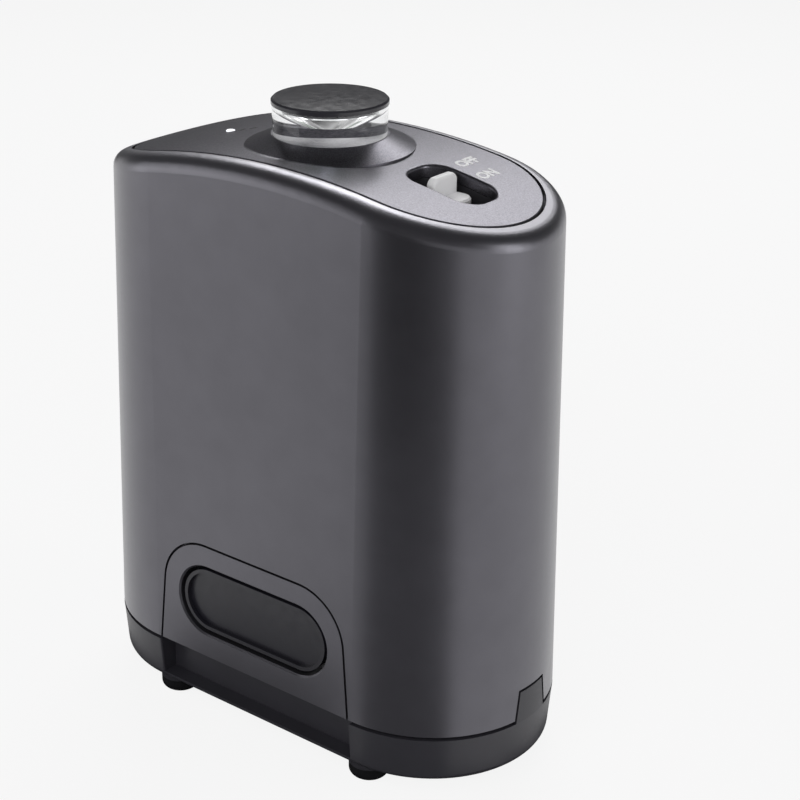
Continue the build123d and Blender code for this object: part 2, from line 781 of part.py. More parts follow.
shroud_front = front_y + pane_back + lean(beam_z + shroud_height / 2) + shroud_gap
with BuildPart() as beam_shroud:
    with BuildSketch(Plane.XZ.offset(-beam_board_y)):
        with Locations((0, beam_z)):
            RectangleRounded(shroud_length, shroud_height, shroud_corner)
        with Locations((-beam_led_pitch / 2, beam_z), (beam_led_pitch / 2, beam_z)):
            Circle(beam_led_radius + shroud_gap, mode=Mode.SUBTRACT)
    extrude(amount=beam_board_y - shroud_front)
    mouths = beam_shroud.faces().sort_by(Axis.Y)[0].inner_wires().edges()
    chamfer(mouths, shroud_bore - beam_led_radius - shroud_gap)
save(beam_shroud, "beam_shroud")

# Contact carrier: a shelf across the shell above the cells, screwed up to two posts
carrier_shrink = 2 * (wall + lean(post_z) + carrier_gap)
with BuildPart() as contact_carrier:
    with BuildSketch(Plane.XY.offset(carrier_z)):
        SlotOverall(length - carrier_shrink, depth - carrier_shrink)
        with Locations((-post_x, 0), (post_x, 0)):
            Circle(screw_radius + screw_gap, mode=Mode.SUBTRACT)
    extrude(amount=carrier_thickness)
save(contact_carrier, "contact_carrier")

with BuildPart() as carrier_screws:
    with BuildSketch(Plane.XY.offset(carrier_z)):
        with Locations((-post_x, 0), (post_x, 0)):
            Circle(screw_radius)
    extrude(amount=carrier_thickness + screw_bite)
    with BuildSketch(Plane.XY.offset(carrier_z - screw_head)):
        with Locations((-post_x, 0), (post_x, 0)):
            Circle(screw_head_radius)
    extrude(amount=screw_head)
save(carrier_screws, "carrier_screws")

# Upper contacts: a dimpled plate over the left cell's nub, a plate with a spring over the right cell
left_x = -cell_pitch / 2
right_x = cell_pitch / 2
contact_z = carrier_z - contact_thickness
with BuildPart() as contact_positive:
    with BuildSketch(Plane.XY.offset(contact_z)):
        with Locations((left_x, tray_y)):
            Rectangle(contact_size, contact_size)
    extrude(amount=contact_thickness)
    with BuildSketch(Plane.XY.offset(cell_top + contact_gap)):
        with Locations((left_x, tray_y)):
            Circle(dimple_radius)
    extrude(amount=spring_height, taper=-dimple_taper)
save(contact_positive, "contact_positive")

with BuildPart() as contact_negative:
    with BuildSketch(Plane.XY.offset(contact_z)):
        with Locations((right_x, tray_y)):
            Rectangle(contact_size, contact_size)
    extrude(amount=contact_thickness)
save(contact_negative, "contact_negative")


def coil(x, z_low):
    """A contact spring between two flat faces, as high as the springs stand when pressed."""
    rise = spring_height - spring_wire
    with BuildPart() as spring:
        with BuildLine() as path:
            Helix(rise / spring_turns, rise, spring_radius, center=(x, tray_y, z_low + spring_wire / 2))
        with BuildSketch(Plane(origin=path.line @ 0, z_dir=path.line % 0)):
            RegularPolygon(spring_wire / 2, wire_sides)
        sweep(path=path.line, is_frenet=True)
    return spring


contact_spring = coil(right_x, cell_top + contact_gap)
save(contact_spring, "contact_spring")
link_spring = coil(left_x, link_z + link_thickness)
save(link_spring, "link_spring")

# Link strip: joins the cells' lower ends, dimpled under the right cell's nub
with BuildPart() as link_strip:
    with BuildSketch(Plane.XY.offset(link_z)):
        with Locations((0, tray_y)):
            SlotOverall(cell_pitch + 2 * (spring_radius + link_margin), link_width)
    extrude(amount=link_thickness)
    with BuildSketch(Plane.XY.offset(link_z + link_thickness)):
        with Locations((right_x, tray_y)):
            Circle(dimple_radius)
    extrude(amount=spring_height, taper=dimple_taper)
save(link_strip, "link_strip")

# Cells: the left stands nub up, the right nub down
can_length = cell_length - cell_nub_height
for x, can_low, nub_low, name in (
    (left_x, cell_z, cell_z + can_length, "cell_left"),
    (right_x, cell_z + cell_nub_height, cell_z, "cell_right"),
):
    with BuildPart() as cell:
        with BuildSketch(Plane.XY.offset(can_low)):
            with Locations((x, tray_y)):
                Circle(cell_diameter / 2)
        extrude(amount=can_length)
        chamfer(cell.edges(), cell_edge)
        with BuildSketch(Plane.XY.offset(nub_low)):
            with Locations((x, tray_y)):
                Circle(cell_nub_radius)
        extrude(amount=cell_nub_height)
    save(cell, name)

# Battery tray: two open barrels on the base, with finger notches and two screwed ears
with BuildPart() as battery_tray:
    with BuildSketch(Plane.XY.offset(floor_z)):
        with Locations((0, tray_y)):
            SlotOverall(cell_pitch + 2 * tray_radius, 2 * tray_radius)
    extrude(amount=tray_height)
    chamfer(battery_tray.faces().sort_by(Axis.Z)[0].edges(), tray_edge)
    with BuildSketch(Plane.XY.offset(floor_z + ear_lift)):
        with Locations((-ear_x, tray_y), (ear_x, tray_y)):
            Circle(ear_radius)
        with Locations((-ear_x + ear_radius, tray_y), (ear_x - ear_radius, tray_y)):
            Rectangle(2 * ear_radius, 2 * ear_radius)
    extrude(amount=ear_thickness)
    with BuildSketch(Plane.XY.offset(link_z)):
        with Locations((left_x, tray_y), (right_x, tray_y)):
            Circle(bore_radius)
    extrude(amount=tray_height, mode=Mode.SUBTRACT)
    with BuildSketch(Plane.XY.offset(link_z)):
        with Locations((0, tray_y)):
            Rectangle(cell_pitch, link_width + 2 * link_gap)
    extrude(amount=cell_z - link_z, mode=Mode.SUBTRACT)
    with BuildSketch(Plane.XY.offset(tray_top - tray_notch)):
        with Locations((0, tray_y)):
            Rectangle(cell_pitch + 2 * tray_radius + cut_margin, tray_window)
            Rectangle(cell_pitch, tray_window, mode=Mode.SUBTRACT)
    extrude(amount=tray_notch, mode=Mode.SUBTRACT)
    with BuildSketch(Plane.XY.offset(floor_z)):
        with Locations((-ear_x, tray_y), (ear_x, tray_y)):
            Circle(screw_radius + screw_gap)
    extrude(amount=tray_height, mode=Mode.SUBTRACT)
save(battery_tray, "battery_tray")

with BuildPart() as tray_screws:
    with BuildSketch(Plane.XY.offset(floor_z + ear_lift + ear_thickness)):
        with Locations((-ear_x, tray_y), (ear_x, tray_y)):
            Circle(screw_head_radius)
    extrude(amount=screw_head)
    with BuildSketch(Plane.XY.offset(floor_z + ear_lift + ear_thickness)):
        with Locations((-ear_x, tray_y), (ear_x, tray_y)):
            Circle(screw_radius)
    extrude(amount=-ear_thickness - ear_lift)
save(tray_screws, "tray_screws")

# Base: a rounded tray with a stepped rim, a notch under the front panel and a release tab at each end
ring_inner = wall + spigot_gap + spigot_thickness
seat_z = shell_z - seat_gap
spigot_top = shell_z + spigot_height
recess_half = panel_bottom / 2
with BuildPart() as base_hollow:
    with BuildSketch(Plane.XY.offset(foot_height)):
        SlotOverall(length - 2 * (base_lean + wall), depth - 2 * (base_lean + wall))
    extrude(amount=base_height, taper=-base_draft)
    with Locations((0, 0, foot_height)):
        Box(length, depth, 2 * floor_thickness, mode=Mode.SUBTRACT)
tab_skin = skin(0, wall, base_top, shell_z + tab_height + cut_margin)
tab_outline = tab_prism(0)
with BuildPart() as tabs:
    add(tab_skin)
    add(tab_outline, mode=Mode.INTERSECT)
with BuildPart() as base:
    with BuildSketch(Plane.XY.offset(foot_height)):
        SlotOverall(length - 2 * base_lean, depth - 2 * base_lean)
    extrude(amount=base_height, taper=-base_draft)
    fillet(base.faces().sort_by(Axis.Z)[0].edges(), base_round)
    add(base_hollow.part, mode=Mode.SUBTRACT)
    with BuildSketch(Plane.XY.offset(base_top - spigot_root)):
        SlotOverall(length - 2 * wall, depth - 2 * wall)
        SlotOverall(length - 2 * ring_inner, depth - 2 * ring_inner, mode=Mode.SUBTRACT)
    extrude(amount=spigot_root)
    with BuildSketch(Plane.XY.offset(base_top)):
        SlotOverall(length - 2 * groove_depth, depth - 2 * groove_depth)
        SlotOverall(length - 2 * ring_inner, depth - 2 * ring_inner, mode=Mode.SUBTRACT)
    extrude(amount=seat_z - base_top)
    with BuildSketch(Plane.XY.offset(seat_z)):
        SlotOverall(length - 2 * (wall + spigot_gap), depth - 2 * (wall + spigot_gap))
        SlotOverall(length - 2 * ring_inner, depth - 2 * ring_inner, mode=Mode.SUBTRACT)
        with Locations((0, front_y)):
            Rectangle(panel_bottom + 2 * (flange_margin + spigot_end_gap), depth, mode=Mode.SUBTRACT)
        Rectangle(length, tab_bottom + 2 * spigot_end_gap, mode=Mode.SUBTRACT)
    extrude(amount=spigot_top - seat_z)
    with BuildSketch(Plane.XY.offset(floor_z - floor_thickness / 2)):
        with Locations((0, front_y + (wall + recess_depth + recess_wall) / 2)):
            Rectangle(2 * (recess_half + recess_wall), recess_depth + recess_wall - wall)
    extrude(amount=seat_z - floor_z + floor_thickness / 2)
    with BuildSketch(Plane.XY.offset(floor_z)):
        with Locations((0, front_y + recess_depth / 2 - cut_margin / 2)):
            Rectangle(2 * recess_half, recess_depth + cut_margin)
    extrude(amount=spigot_top - floor_z, mode=Mode.SUBTRACT)
    for x in (-recess_half, recess_half):
        fillet(base.edges().filter_by_position(Axis.X, x, x).sort_by(Axis.Y)[0], recess_round)
    add(tabs.part)
    with BuildSketch(Plane.XY.offset(foot_rubber)):
        with GridLocations(2 * foot_x, 2 * foot_y, 2, 2):
            Circle(foot_radius)
    extrude(amount=floor_z - foot_rubber, taper=-foot_draft)
    with BuildSketch(Plane.XY.offset(floor_z)):
        with Locations((-ear_x, tray_y), (ear_x, tray_y)):
            Circle(boss_radius)
    extrude(amount=ear_lift)
    with BuildSketch(Plane.XY.offset(floor_z)):
        with Locations((-ear_x, tray_y), (ear_x, tray_y)):
            Circle(screw_radius + screw_gap)
    extrude(amount=ear_lift, mode=Mode.SUBTRACT)
    with BuildSketch(Plane.XY.offset(foot_rubber)):
        with GridLocations(2 * foot_x, 2 * foot_y, 2, 2):
            Circle(foot_stem_radius)
    extrude(amount=floor_z - foot_rubber, mode=Mode.SUBTRACT)
save(base, "base")

# Four rubber feet plugged into the base
for x, y, name in (
    (-foot_x, -foot_y, "foot_front_left"),
    (foot_x, -foot_y, "foot_front_right"),
    (-foot_x, foot_y, "foot_back_left"),
    (foot_x, foot_y, "foot_back_right"),
):
    with BuildPart() as foot:
        with BuildSketch(Plane.XY):
            with Locations((x, y)):
                Circle(foot_radius)
        extrude(amount=foot_rubber)
        fillet(foot.faces().sort_by(Axis.Z)[0].edges(), foot_edge)
        with BuildSketch(Plane.XY.offset(foot_rubber)):
            with Locations((x, y)):
                Circle(foot_stem_radius)
        extrude(amount=floor_z - foot_rubber)
    save(foot, name)
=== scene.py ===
from math import cos, pi, radians, sin, sqrt

import bmesh
import bpy
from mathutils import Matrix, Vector


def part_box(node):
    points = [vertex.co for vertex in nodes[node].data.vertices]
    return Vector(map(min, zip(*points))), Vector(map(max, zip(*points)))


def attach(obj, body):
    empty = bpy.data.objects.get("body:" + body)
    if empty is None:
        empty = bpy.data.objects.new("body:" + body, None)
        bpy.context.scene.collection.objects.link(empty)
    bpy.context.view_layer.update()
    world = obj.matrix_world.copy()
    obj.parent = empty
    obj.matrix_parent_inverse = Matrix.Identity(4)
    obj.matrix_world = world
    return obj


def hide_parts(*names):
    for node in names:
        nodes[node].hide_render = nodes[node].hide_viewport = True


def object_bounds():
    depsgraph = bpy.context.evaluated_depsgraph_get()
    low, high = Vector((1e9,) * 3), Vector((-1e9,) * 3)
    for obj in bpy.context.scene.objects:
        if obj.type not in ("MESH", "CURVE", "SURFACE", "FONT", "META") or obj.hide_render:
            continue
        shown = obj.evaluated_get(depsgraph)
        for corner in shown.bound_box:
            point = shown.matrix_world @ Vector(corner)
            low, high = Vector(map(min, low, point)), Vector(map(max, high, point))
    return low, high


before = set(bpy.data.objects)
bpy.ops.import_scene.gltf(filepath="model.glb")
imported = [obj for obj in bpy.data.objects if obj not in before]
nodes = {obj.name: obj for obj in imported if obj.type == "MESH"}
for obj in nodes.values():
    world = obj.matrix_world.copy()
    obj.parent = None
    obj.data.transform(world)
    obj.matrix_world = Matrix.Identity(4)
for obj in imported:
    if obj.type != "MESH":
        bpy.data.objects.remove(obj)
cad_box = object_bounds()
mm = 0.001


def mesh_of(shape, name):
    """The mesh of a finished shape."""
    mesh = bpy.data.meshes.new(name)
    shape.to_mesh(mesh)
    shape.free()
    return mesh


def placed(name, data):
    """An object in the scene."""
    made = bpy.data.objects.new(name, data)
    bpy.context.scene.collection.objects.link(made)
    return made


# Shader nodes

noise_low, noise_high = 0.3, 0.7        # most noise values lie between these


def material(name):
    """A material with its node tree and its shader."""
    made = bpy.data.materials.new(name)
    made.use_nodes = True
    tree = made.node_tree
    tree.nodes.clear()
    output = tree.nodes.new("ShaderNodeOutputMaterial")
    shader = tree.nodes.new("ShaderNodeBsdfPrincipled")
    tree.links.new(shader.outputs["BSDF"], output.inputs["Surface"])
    return made, tree, shader


def noise(tree, size, detail=2.0, roughness=0.5, stretch=(1, 1, 1)):
    """Noise with features of about a given size, in metres, fixed to the object."""
    place = tree.nodes.new("ShaderNodeTexCoord")
    mapping = tree.nodes.new("ShaderNodeMapping")
    mapping.inputs["Scale"].default_value = stretch
    texture = tree.nodes.new("ShaderNodeTexNoise")
    texture.inputs["Scale"].default_value = 1 / size
    texture.inputs["Detail"].default_value = detail
    texture.inputs["Roughness"].default_value = roughness
    tree.links.new(place.outputs["Object"], mapping.inputs["Vector"])
    tree.links.new(mapping.outputs["Vector"], texture.inputs["Vector"])
    return texture.outputs["Fac"]


def altitude(tree):
    """The height of a point in the object's own frame."""
    place = tree.nodes.new("ShaderNodeTexCoord")
    parts = tree.nodes.new("ShaderNodeSeparateXYZ")
    tree.links.new(place.outputs["Object"], parts.inputs["Vector"])
    return parts.outputs["Z"]


def calculate(tree, operation, first, second):
    """The result for two inputs, each a socket or a number."""
    node = tree.nodes.new("ShaderNodeMath")
    node.operation = operation
    for socket, value in zip(node.inputs, (first, second)):
        if isinstance(value, float):
            socket.default_value = value
        else:
            tree.links.new(value, socket)
    return node.outputs[0]


def spread(tree, value, low, high):
    """Noise values spread over a range."""
    node = tree.nodes.new("ShaderNodeMapRange")
    node.inputs["From Min"].default_value = noise_low
    node.inputs["From Max"].default_value = noise_high
    node.inputs["To Min"].default_value = low
    node.inputs["To Max"].default_value = high
    tree.links.new(value, node.inputs["Value"])
    return node.outputs["Result"]


def ramp(tree, value, stops, sharp=False):
    """Colours by value, from (place, colour) stops, blended or in sharp steps."""
    node = tree.nodes.new("ShaderNodeValToRGB")
    node.color_ramp.interpolation = "CONSTANT" if sharp else "LINEAR"
    elements = node.color_ramp.elements
    middle = 0.5
    while len(elements) < len(stops):
        elements.new(middle)
    for element, (place, colour) in zip(elements, stops):
        element.position = place
        element.color = (*colour, 1)
    tree.links.new(value, node.inputs["Fac"])
    return node.outputs["Color"]


def sheen(tree, shader, size, low, high):
    """Roughness between two values, in patches of about a given size."""
    uneven = spread(tree, noise(tree, size), low, high)
    tree.links.new(uneven, shader.inputs["Roughness"])


def bump(tree, shader, height, depth, strength):
    """Relief of a depth in metres."""
    node = tree.nodes.new("ShaderNodeBump")
    node.inputs["Distance"].default_value = depth
    node.inputs["Strength"].default_value = strength
    tree.links.new(height, node.inputs["Height"])
    tree.links.new(node.outputs["Normal"], shader.inputs["Normal"])


def shade(colour, factor):
    """A colour made darker or lighter."""
    return tuple(min(1.0, channel * factor) for channel in colour)


# Materials


def moulded(
    name,
    colour,
    rough,
    grain=0.25 * mm,
    relief=0.01 * mm,
    mottle=0.06,
    metallic=0.0,
    gloss=0.5,
    coat=0.0,
):
    """Moulded plastic with a fine grain, faint mottling and any metal flake or coat."""
    made, tree, shader = material(name)
    mottle_size = 6 * mm
    sheen_size = 0.8 * mm
    sheen_spread = 0.015
    stops = [(0.25, shade(colour, 1 - mottle)), (0.75, shade(colour, 1 + mottle))]
    tint = ramp(tree, noise(tree, mottle_size, detail=4), stops)
    tree.links.new(tint, shader.inputs["Base Color"])
    sheen(tree, shader, sheen_size, rough - sheen_spread, rough + sheen_spread)
    shader.inputs["Metallic"].default_value = metallic
    shader.inputs["Specular IOR Level"].default_value = gloss
    shader.inputs["Coat Weight"].default_value = coat
    shader.inputs["Coat Roughness"].default_value = rough
    bump(tree, shader, noise(tree, grain, detail=1), relief, strength=0.5)
    return made


def flecked(name, colour, contrast, rough, metallic):
    """Lacquer with a fine metallic fleck."""
    made, tree, shader = material(name)
    fleck_size = 0.22 * mm
    sheen_size = 0.5 * mm
    sheen_spread = 0.03
    grain = 0.3 * mm
    relief = 0.002 * mm
    stops = [(0.36, shade(colour, 1 - contrast)), (0.66, shade(colour, 1 + contrast))]
    fleck = ramp(tree, noise(tree, fleck_size, detail=3, roughness=0.7), stops)
    tree.links.new(fleck, shader.inputs["Base Color"])
    sheen(tree, shader, sheen_size, rough - sheen_spread, rough + sheen_spread)
    shader.inputs["Metallic"].default_value = metallic
    bump(tree, shader, noise(tree, grain, detail=1), relief, strength=0.2)
    return made


def polished(name, colour, rough):
    """Polished plastic with faint clouding."""
    made, tree, shader = material(name)
    cloud_size = 4 * mm
    sheen_size = 1.5 * mm
    stops = [(0.3, shade(colour, 0.94)), (0.7, shade(colour, 1.06))]
    tint = ramp(tree, noise(tree, cloud_size, detail=3), stops)
    tree.links.new(tint, shader.inputs["Base Color"])
    sheen(tree, shader, sheen_size, rough * 0.8, rough * 1.2)
    return made


def clear(name, colour, rough, painted_glints_below=None, glow=0.0):
    """Clear moulded plastic, with any painted glints that glow in patches on its foot below a
    height.
    """
    made, tree, shader = material(name)
    cloud_size = 8 * mm
    sheen_size = 4 * mm
    glint_patch_size = 3 * mm
    acrylic_ior = 1.49
    stops = [(0.3, shade(colour, 0.985)), (0.7, colour)]
    tint = ramp(tree, noise(tree, cloud_size, detail=1), stops)
    tree.links.new(tint, shader.inputs["Base Color"])
    sheen(tree, shader, sheen_size, rough * 0.5, rough * 1.5)
    shader.inputs["Transmission Weight"].default_value = 1
    shader.inputs["IOR"].default_value = acrylic_ior
    # Painted glints: below the given height the plastic glows white in patches, standing in for
    # light glinting through it.
    if painted_glints_below is not None:
        below = calculate(tree, "LESS_THAN", altitude(tree), painted_glints_below)
        glint_patches = spread(tree, noise(tree, glint_patch_size, detail=1), 0.0, 1.0)
        light = calculate(tree, "MULTIPLY", below, glint_patches)
        tree.links.new(light, shader.inputs["Emission Color"])
        shader.inputs["Emission Strength"].default_value = glow
    return made


def lit(name, colour, glow):
    """Resin lit from inside, with faint clouding."""
    made, tree, shader = material(name)
    cloud_size = 2 * mm
    stops = [(0.3, shade(colour, 0.85)), (0.7, colour)]
    tint = ramp(tree, noise(tree, cloud_size, detail=2), stops)
    tree.links.new(tint, shader.inputs["Base Color"])
    tree.links.new(tint, shader.inputs["Emission Color"])
    shader.inputs["Emission Strength"].default_value = glow
    shader.inputs["Roughness"].default_value = 0.2
    return made


def jacketed(name, low, high, nub_up):
    """Dry cell: a jacket with a pale band at its positive end, between bare steel ends."""
    made, tree, shader = material(name)
    sheen_size = 2 * mm
    along = tree.nodes.new("ShaderNodeMapRange")
    along.inputs["From Min"].default_value = low if nub_up else high
    along.inputs["From Max"].default_value = high if nub_up else low
    tree.links.new(altitude(tree), along.inputs["Value"])
    jacket_start, band_start, jacket_end = 0.03, 0.72, 0.94
    bare_steel = (0.55, 0.55, 0.56)
    jacket_dark = (0.02, 0.022, 0.03)
    band_copper = (0.5, 0.24, 0.06)
    bands = [
        (0.0, bare_steel),
        (jacket_start, jacket_dark),
        (band_start, band_copper),
        (jacket_end, bare_steel),
    ]
    colours = ramp(tree, along.outputs["Result"], bands, sharp=True)
    tree.links.new(colours, shader.inputs["Base Color"])
    ends = [(0.0, (1,) * 3), (jacket_start, (0,) * 3), (jacket_end, (1,) * 3)]
    bare = ramp(tree, along.outputs["Result"], ends, sharp=True)
    tree.links.new(bare, shader.inputs["Metallic"])
    sheen(tree, shader, sheen_size, 0.24, 0.34)
    return made


def metal(name, colour, rough, stretch=(1, 1, 1)):
    """Plated metal with fine drawn lines."""
    made, tree, shader = material(name)
    tarnish_size = 1 * mm
    line_size = 0.6 * mm
    relief = 0.006 * mm
    stops = [(0.3, shade(colour, 0.86)), (0.7, colour)]
    tint = ramp(tree, noise(tree, tarnish_size, detail=4, stretch=stretch), stops)
    tree.links.new(tint, shader.inputs["Base Color"])
    lines = noise(tree, line_size, detail=3, stretch=stretch)
    tree.links.new(spread(tree, lines, rough * 0.7, rough * 1.3), shader.inputs["Roughness"])
    shader.inputs["Metallic"].default_value = 1
    bump(tree, shader, lines, relief, strength=0.4)
    return made


def laminate(name, mask, track):
    """Circuit board: solder mask over copper tracks that show as a paler green."""
    made, tree, shader = material(name)
    tracks_per_metre = 300
    sheen_size = 2 * mm
    relief = 0.03 * mm
    place = tree.nodes.new("ShaderNodeTexCoord")
    brick = tree.nodes.new("ShaderNodeTexBrick")
    brick.inputs["Scale"].default_value = tracks_per_metre
    brick.inputs["Mortar Size"].default_value = 0.03
    brick.inputs["Color1"].default_value = (*mask, 1)
    brick.inputs["Color2"].default_value = (*shade(mask, 0.85), 1)
    brick.inputs["Mortar"].default_value = (*track, 1)
    tree.links.new(place.outputs["Object"], brick.inputs["Vector"])
    tree.links.new(brick.outputs["Color"], shader.inputs["Base Color"])
    sheen(tree, shader, sheen_size, 0.25, 0.4)
    bump(tree, shader, brick.outputs["Fac"], relief, strength=0.5)
    return made


mound_rise = 1.6 * mm
plate_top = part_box("top_plate")[1].z - mound_rise
cell_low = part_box("cell_left")[0].z
cell_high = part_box("cell_left")[1].z

shell = moulded("shell_satin", (0.11, 0.107, 0.124), 0.36, metallic=0.85, coat=0.6)
base_grey = moulded("base_satin", (0.032, 0.031, 0.038), 0.42, gloss=0.45)
plate = flecked("plate_fleck", (0.132, 0.1285, 0.147), contrast=0.3, rough=0.33, metallic=0.9)
black = moulded("black_moulding", (0.028, 0.0275, 0.031), 0.45)
cap = polished("cap_polish", (0.03, 0.029, 0.035), 0.2)
window = polished("window_smoke", (0.015, 0.0145, 0.02), 0.35)
knob = moulded("knob_pale", (0.9, 0.895, 0.91), 0.4, relief=0.005 * mm, mottle=0.03)
ink = moulded("print_white", (0.92, 0.92, 0.93), 0.5, relief=0.002 * mm, mottle=0.03)
dark_ink = moulded("print_dark", (0.012, 0.012, 0.014), 0.5, relief=0.002 * mm)
# The lens's foot glows in patches: painted glints.
lens = clear("dome_clear", (0.97, 0.975, 0.985), 0.02, painted_glints_below=plate_top, glow=0.45)
pipe = lit("pipe_lit", (0.95, 0.97, 1.0), glow=1.0)
rubber = moulded("foot_rubber", (0.009, 0.009, 0.0105), 0.6, grain=0.4 * mm, gloss=0.2)
steel = metal("plated_steel", (0.55, 0.55, 0.57), 0.28)
# Very dark steel for the screws' crosses: painted shade of their recesses.
cross_shade_paint = metal("steel_cross_shade_paint", (0.06, 0.06, 0.065), 0.4)
nickel = metal("plated_nickel", (0.66, 0.64, 0.6), 0.22, stretch=(1, 6, 1))
board = laminate("board_green", (0.02, 0.14, 0.05), (0.04, 0.22, 0.08))
resin = clear("diode_resin", (0.55, 0.62, 0.85), 0.05)
# The emitter's white glow is painted light that brightens the lens from inside; the real emitter
# shines infrared only.
painted_emitter_glow = lit("emitter_painted_glow", (0.9, 0.92, 1.0), glow=1.6)
sleeve = polished("capacitor_sleeve", (0.015, 0.02, 0.06), 0.3)
jacket_up = jacketed("cell_jacket_up", cell_low, cell_high, True)
jacket_down = jacketed("cell_jacket_down", cell_low, cell_high, False)

finishes = {
    shell: ["body_shell", "front_panel"],
    base_grey: ["base"],
    plate: ["top_plate"],
    black: [
        "switch_well",
        "switch_actuator",
        "beam_shroud",
        "control_chip",
        "contact_carrier",
        "battery_tray",
    ],
    cap: ["dome_cap"],
    window: ["window_lens"],
    knob: ["switch_knob"],
    lens: ["dome_lens"],
    pipe: ["light_pipe"],
    rubber: ["foot_front_left", "foot_front_right", "foot_back_left", "foot_back_right"],
    steel: ["board_screws", "beam_screws", "carrier_screws", "tray_screws", "slide_switch"],
    nickel: [
        "contact_positive",
        "contact_negative",
        "contact_spring",
        "link_strip",
        "link_spring",
    ],
    board: ["main_board", "beam_board"],
    resin: ["status_led", "beam_emitter_left", "beam_emitter_right"],
    painted_emitter_glow: ["dome_emitter"],
    sleeve: ["capacitor"],
    jacket_up: ["cell_left"],
    jacket_down: ["cell_right"],
}
for finish, names in finishes.items():
    for name in names:
        nodes[name].data.materials.clear()
        nodes[name].data.materials.append(finish)


# Printing on the top plate, which follows its arch

plate_radius = 136 * mm
ink_depth = 0.03 * mm
letter_size = 2.9 * mm
letter_weight = 0.13 * mm
mark_length = 1.5 * mm
mark_width = 0.7 * mm


def printed(name, mesh, finish):
    """Lay a flat mesh on the plate's arch, and let it ride the housing."""
    for vertex in mesh.vertices:
        x = vertex.co.x
        vertex.co.z += plate_top - plate_radius + sqrt(plate_radius**2 - x**2)
    mesh.materials.clear()
    mesh.materials.append(finish)
    piece = placed(name, mesh)
    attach(piece, "housing")


def lettering(name, text, x, y):
    """A word that reads along +Y, with the letters' tops towards -X."""
    curve = bpy.data.curves.new(name, "FONT")
    curve.body = text
    curve.size = letter_size
    curve.extrude = ink_depth
    curve.offset = letter_weight
    curve.align_x = "CENTER"
    curve.align_y = "CENTER"
    draft = bpy.data.objects.new(name, curve)
    mesh = bpy.data.meshes.new_from_object(draft)
    bpy.data.objects.remove(draft)
    for vertex in mesh.vertices:
        across, up, height = vertex.co
        vertex.co = (x - up, y + across, height)
    printed(name, mesh, ink)


def dash(name, x, y):
    """A short stroke along Y."""
    shape = bmesh.new()
    bmesh.ops.create_cube(shape, size=1)
    for vertex in shape.verts:
        across, along, height = vertex.co
        vertex.co = (x + across * mark_width, y + along * mark_length, height * 2 * ink_depth)
    printed(name, mesh_of(shape, name), dark_ink)


lettering("label_off", "OFF", 21.4 * mm, 9.4 * mm)
lettering("label_on", "ON", 26.3 * mm, 8.2 * mm)
dash("status_mark_near", -20.6 * mm, 1.0 * mm)
dash("status_mark_far", -19.4 * mm, 2.6 * mm)


# Dark crosses on the heads of the tray's screws: painted shade for their cross recesses

screw_low, screw_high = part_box("tray_screws")
head_radius = (screw_high.y - screw_low.y) / 2
head_y = (screw_low.y + screw_high.y) / 2
cross_length = 2.6 * mm
cross_width = 0.6 * mm
cross_depth = 0.04 * mm


def cross(name, x, y, z):
    """Two crossed dark bars on a screw head: painted shade for its cross recess."""
    middle = Vector((x, y, z))
    shape = bmesh.new()
    for wide, deep in [(cross_length, cross_width), (cross_width, cross_length)]:
        for corner in bmesh.ops.create_cube(shape, size=1)["verts"]:
            corner.co = middle + corner.co * Vector((wide, deep, cross_depth))
    mesh = mesh_of(shape, name)
    mesh.materials.append(cross_shade_paint)
    piece = placed(name, mesh)
    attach(piece, "base")


cross("tray_screw_cross_left", screw_low.x + head_radius, head_y, screw_high.z)
cross("tray_screw_cross_right", screw_high.x - head_radius, head_y, screw_high.z)


# Dome lens with a flat-bottomed hollow, in place of the plain cone of the solid

lens_name = "dome_lens"
lens_low, lens_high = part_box(lens_name)
lens_foot = 9.45 * mm
lens_flare = 0.3 * mm
skirt_inside = 7.65 * mm
mouth_wide = 8.15 * mm          # round the cap's plug
mouth_radius = 7.95 * mm        # at the top of the hollow
mouth_drop = 0.9 * mm
hollow_radius = 3.5 * mm        # at its flat bottom
hollow_drop = 3.05 * mm
collar_step = 1 * mm            # the collar is wider than the foot by more than this
lens_steps = 144
weld_distance = 0.001 * mm
sharp_angle = radians(12)

lens_points = [vertex.co for vertex in nodes[lens_name].data.vertices]
collar_levels = [point.z for point in lens_points if point.xy.length > lens_foot + collar_step]
collar_low, collar_top = min(collar_levels), max(collar_levels)
collar_radius = lens_high.x
lens_profile = [
    (0, collar_low),
    (skirt_inside, collar_low),
    (skirt_inside, lens_low.z),
    (lens_foot, lens_low.z),
    (lens_foot, collar_low),
    (collar_radius, collar_low),
    (collar_radius, collar_top),
    (lens_foot, collar_top),
    (lens_foot + lens_flare, lens_high.z),
    (mouth_wide, lens_high.z),
    (mouth_wide, lens_high.z - mouth_drop),
    (mouth_radius, lens_high.z - mouth_drop),
    (hollow_radius, lens_high.z - hollow_drop),
    (0, lens_high.z - hollow_drop),
]
lens_shape = bmesh.new()
lens_line = [lens_shape.verts.new((radius, 0, height)) for radius, height in lens_profile]
lens_edges = [lens_shape.edges.new(pair) for pair in zip(lens_line, lens_line[1:])]
bmesh.ops.spin(
    lens_shape,
    geom=lens_line + lens_edges,
    axis=(0, 0, 1),
    cent=(0, 0, 0),
    steps=lens_steps,
    angle=2 * pi,
    use_merge=True,
)
bmesh.ops.remove_doubles(lens_shape, verts=lens_shape.verts, dist=weld_distance)
bmesh.ops.recalc_face_normals(lens_shape, faces=lens_shape.faces)
lens_mesh = mesh_of(lens_shape, "lens_ring")
for face in lens_mesh.polygons:
    face.use_smooth = True
lens_mesh.set_sharp_from_angle(angle=sharp_angle)
lens_mesh.materials.append(lens)
lens_ring = placed("lens_ring", lens_mesh)
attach(lens_ring, "housing")
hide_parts(lens_name)


# Camera at the photograph's angle

